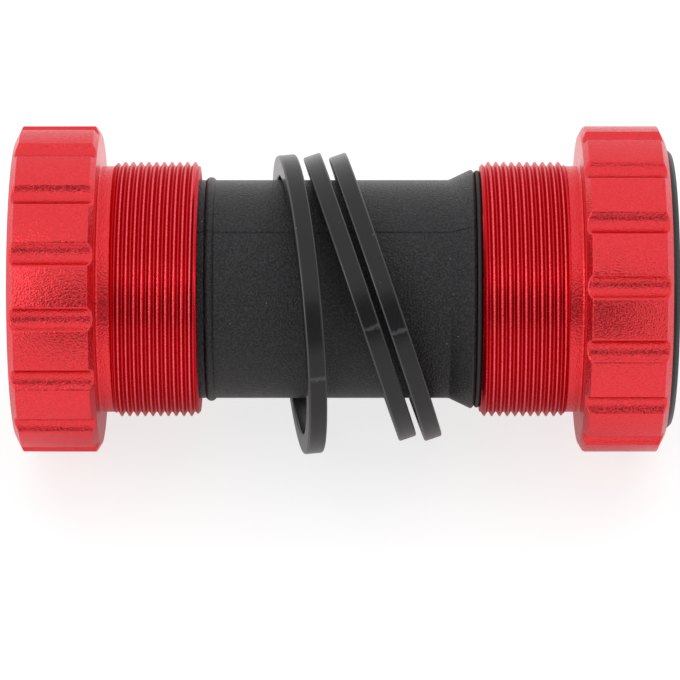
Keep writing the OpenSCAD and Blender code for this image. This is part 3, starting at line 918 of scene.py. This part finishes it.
# %% Mill and roll both cups
mill = mill_notches()
roller = roll_thread()
crest_from_mouth = {"drive": 1.74, "nondrive": 2.22}
crest_angle = math.radians(45)
notch_step = 2 * math.pi / notches
straight_down = -math.pi / 2
for end, side, first in (
        ("drive", -1, straight_down + notch_step / 2), ("nondrive", 1, straight_down)):
    cup = cup_blank(f"{end}_cup_finished", side, first)
    crest_turns = crest_from_mouth[end] / pitch - (crest_angle - first) / (2 * math.pi)
    run_nodes(cup, mill, {
        "Notches": float(notches), "First notch": first, "Cutter radius": cutter_r * MM,
        "Cutter place": cutter_place * MM, "Edge rounding": notch_edge * MM, "Finish": blasted})
    run_nodes(cup, roller, {
        "Pitch": pitch * MM, "Mouth": side * (half_gap - barrel_l) * MM, "Outward": float(side),
        "Length": thread_l * MM, "Start": crest_turns % 1 - spare_turns,
        "Crest radius": thread_r * MM, "Root radius": root_r * MM,
        "Crest flat": crest_rows / rows_per_turn,
        "Root start": 0.5 - root_rows / rows_per_turn, "Mouth radius": (thread_r - lead_in) * MM,
        "Turned finish": turned, "Thread finish": rolled})
    made_plain(cup)
    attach(cup, f"{end}_cup")
    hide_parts(f"{end}_cup")

# %% [markdown]
# ## Dust caps
# A dust cap presses into each bearing, covers it from outside and guides the spindle through its
# bore. It is a plain moulded ring with a shallow dish in its face.

# %% Mould the dust caps
cap_r = 19.0
cap_boss_r = 14.2925
cap_wall = 1.4
cap_dish = 0.35
cap_bevel = 0.45
liner_r = 12.49
liner_from = seat_from + 0.1
cap_floor = seat_to + 0.4
cap_columns = 192


def dust_cap_section(cap_face):
    """Half section of a dust cap, from the flange's inboard face outwards."""
    return rounded([
        (liner_from, spindle_r, 0.1), (cap_face, spindle_r, 0.35), (cap_face, cap_boss_r, 0.15),
        (cap_face - cap_dish, cap_boss_r + cap_dish, 0.15),
        (cap_face - cap_dish, cap_r - cap_wall - cap_dish, 0.15),
        (cap_face, cap_r - cap_wall, 0.15), (cap_face, cap_r - cap_bevel, 0.2),
        (cap_face - cap_bevel, cap_r, 0.2), (cap_floor, cap_r, 0.15),
        (cap_floor, cap_r - cap_wall, 0.15), (cap_face - cap_wall, cap_r - cap_wall, 0.2),
        (cap_face - cap_wall, cap_boss_r, 0.2), (seat_to, cap_boss_r, 0.1), (seat_to, liner_r, 0.1),
        (liner_from, liner_r, 0.1),
    ])


for end, side in (("drive", -1), ("nondrive", 1)):
    section = dust_cap_section(cap_faces[end])
    outline = np.column_stack([side * (half_gap + section[:, 0]), section[:, 1]])
    if side < 0:
        outline = outline[::-1]
    cap = spun(f"{end}_dust_cap_finished", outline, even_angles(cap_columns))
    cap.data.materials.append(cap_nylon)
    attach(cap, f"{end}_bearing")
    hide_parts(f"{end}_dust_cap")
    print(cap.name, len(cap.data.polygons), "faces")

# %% [markdown]
# ## Sleeve
# The sleeve keeps water and grit off the spindle between the cups. It is one long moulding, so
# it has a fine parting line along each side where the halves of its mould met, a bead at the
# drive side and a cone at the other. The line is pressed into the mesh itself, which has finer
# columns there, because it is a form and has to catch the light as one.

# %% Mould the sleeve
sleeve_end = reach("inner_sleeve", 0)[1]
cone_r = reach("inner_sleeve", 2)[1]
sleeve_r = 14.9
sleeve_bore_r = 13.45
spigot_r = 15.5
spigot_bore_r = 14.05
cone_back = 18.25
cone_front = 14.8
cone_rim = 0.4
bead_x = -17.55
bead_r = 15.3
bead_round = 0.728
groove_x = 1.2 - sleeve_end
groove_w = 1.45
groove_r = 14.24
parting_angle = 105.2
parting_half_w = 0.1
parting_depth = 0.11
sleeve_columns = 240


def sleeve_section():
    """Half section of the sleeve, from the drive end's bore round to its outside."""
    bead_middle = bead_r - bead_round
    bead_half = math.acos((sleeve_r - bead_middle) / bead_round)
    bead = [
        (bead_x + bead_round * math.sin(turn), bead_middle + bead_round * math.cos(turn), 0)
        for turn in np.linspace(bead_half, -bead_half, 13)
    ]
    return rounded([
        (-sleeve_end, sleeve_bore_r, 0.15), (cone_front, sleeve_bore_r, 0.3),
        (cone_back, spigot_bore_r, 0.3), (sleeve_end, spigot_bore_r, 0.15),
        (sleeve_end, spigot_r - mouth_chamfer, 0.1), (sleeve_end - mouth_chamfer, spigot_r, 0.1),
        (cone_back, spigot_r, 0.1), (cone_back, cone_r - cone_rim, 0.25),
        (cone_back - cone_rim, cone_r, 0.3), (cone_front, sleeve_r, 0.8),
        (bead_x + bead_round * math.sin(bead_half) + 0.1, sleeve_r, 0.0), *bead,
        (bead_x - bead_round * math.sin(bead_half) - 0.1, sleeve_r, 0.0),
        (groove_x + groove_w / 2, sleeve_r, 0.1), (groove_x + groove_w / 2, groove_r, 0.1),
        (groove_x - groove_w / 2, groove_r, 0.1), (groove_x - groove_w / 2, sleeve_r, 0.1),
        (mouth_chamfer - sleeve_end, sleeve_r, 0.1), (-sleeve_end, sleeve_r - mouth_chamfer, 0.1),
    ])


sleeve = spun("sleeve_finished", sleeve_section(), even_angles(
    sleeve_columns, fine_at=(parting_angle, parting_angle + 180), fine_half=1.0, fine_steps=10))
points = np.array([v.co for v in sleeve.data.vertices])
angle = np.arctan2(points[:, 2], points[:, 1])
radius = np.hypot(points[:, 1], points[:, 2])
away = (angle - math.radians(parting_angle) + math.pi / 2) % math.pi - math.pi / 2
groove = parting_depth * MM * np.exp(-(away * radius / (parting_half_w * MM)) ** 2)
outside = radius > (sleeve_r - 0.2) * MM
share = np.where(outside, 1 - groove / radius, 1)
points[:, 1:] *= share[:, None]
sleeve.data.vertices.foreach_set("co", points.ravel())
sleeve.data.update()
sleeve.data.materials.append(grained_nylon)
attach(sleeve, "sleeve")
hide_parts("inner_sleeve")
print(sleeve.name, len(sleeve.data.polygons), "faces")

# %% [markdown]
# ## Spacers
# Spacers set how far a cup stands off a narrow frame. Here they are loose: they hang round the
# sleeve and lean on it. Each ring's centre and axis are measured on its solid, and the ring is
# spun about X and then turned into that place. Each has its gate's scar on its own side, so each is
# first turned on its axis until the scar is there. A UV map in millimetres, as if the rim were
# rolled out flat, tells the finish where the scar and the edges lie.

# %% Mould the spacers
spacer_round = 0.28
spacer_columns = 256
gate_angles = {1: math.radians(164.9), 2: math.radians(146.4), 3: math.radians(147.8)}


def place_of_ring(node):
    """Turns and moves a ring spun about X into the place of its solid."""
    points = np.array([v.co for v in frame["nodes"][node].data.vertices])
    centre = (points.min(0) + points.max(0)) / 2
    axis = Vector(np.linalg.svd(points - centre, full_matrices=False)[2][2])
    if axis.x < 0:
        axis.negate()
    side = Vector((0, 0, 1)).cross(axis).normalized()
    turn = Matrix((axis, side, axis.cross(side))).transposed().to_4x4()
    return Matrix.Translation(centre) @ turn


def unroll(ring, outline):
    """Gives a ring a UV map in millimetres: round its rim, and along its outline."""
    rim = np.linspace(0, 2 * math.pi * spacer_out_r, spacer_columns + 1)
    steps = np.linalg.norm(np.roll(outline, -1, 0) - outline, axis=1)
    length = np.concatenate([[0], np.cumsum(steps)])
    uv = np.empty((len(outline), spacer_columns, 4, 2))
    uv[..., 0] = np.column_stack([rim[:-1], rim[:-1], rim[1:], rim[1:]])
    uv[..., 1] = np.column_stack([length[:-1], length[1:], length[1:], length[:-1]])[:, None]
    ring.data.uv_layers.new(name="unrolled").data.foreach_set("uv", uv.ravel())


spacer_outline = rounded([
    (-spacer_half_t, spacer_in_r, spacer_round), (spacer_half_t, spacer_in_r, spacer_round),
    (spacer_half_t, spacer_out_r, spacer_round), (-spacer_half_t, spacer_out_r, spacer_round),
])
for number in (1, 2, 3):
    node = f"spacer_{number}"
    ring = spun(f"{node}_finished", spacer_outline, even_angles(spacer_columns))
    unroll(ring, spacer_outline)
    place = place_of_ring(node)
    ring.data.transform(place @ Matrix.Rotation(gate_angles[number] - math.pi, 4, "X"))
    ring.data.materials.append(smooth_nylon)
    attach(ring, node)
    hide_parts(node)
    print(ring.name, "centre", [round(v / MM, 2) for v in place.translation])
